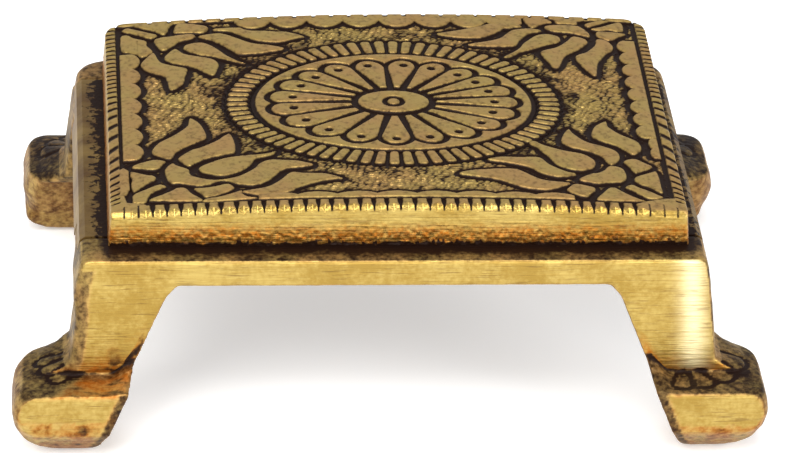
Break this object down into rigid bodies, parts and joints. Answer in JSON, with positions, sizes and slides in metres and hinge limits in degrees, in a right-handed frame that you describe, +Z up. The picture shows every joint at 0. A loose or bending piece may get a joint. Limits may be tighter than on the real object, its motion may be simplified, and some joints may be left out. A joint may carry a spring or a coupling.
{
  "type": "low table",
  "caption": "Low cast-brass ceremonial table with a carved, crowned top on a ring frame and outward-curled paw feet.",
  "frame": {"origin": "on the floor, under the middle of the table's bounding box", "axes": "+X left to right along the long side, +Y from the filed front face to the rear, +Z up"},
  "size_m": [0.1464, 0.1086, 0.0511],
  "materials": {
    "carved_brass": "antiqued, dark in the recesses",
    "filed_brass": "filed bright in front, dark patina in the hollows",
    "ledge_brass": "dark patina, worn tan at the edge",
    "screw_brass": "dull turned brass"
  },
  "bodies": {
    "root": {"top_plate": "carved_brass", "front_arch": "filed_brass", "rear_arch": "filed_brass", "left_rail": "ledge_brass", "right_rail": "ledge_brass", "plate_screw_front_left": "screw_brass", "plate_screw_front_right": "screw_brass", "plate_screw_rear_left": "screw_brass", "plate_screw_rear_right": "screw_brass", "corner_screw_front_left": "screw_brass", "corner_screw_front_right": "screw_brass", "corner_screw_rear_left": "screw_brass", "corner_screw_rear_right": "screw_brass"}
  },
  "joints": []
}
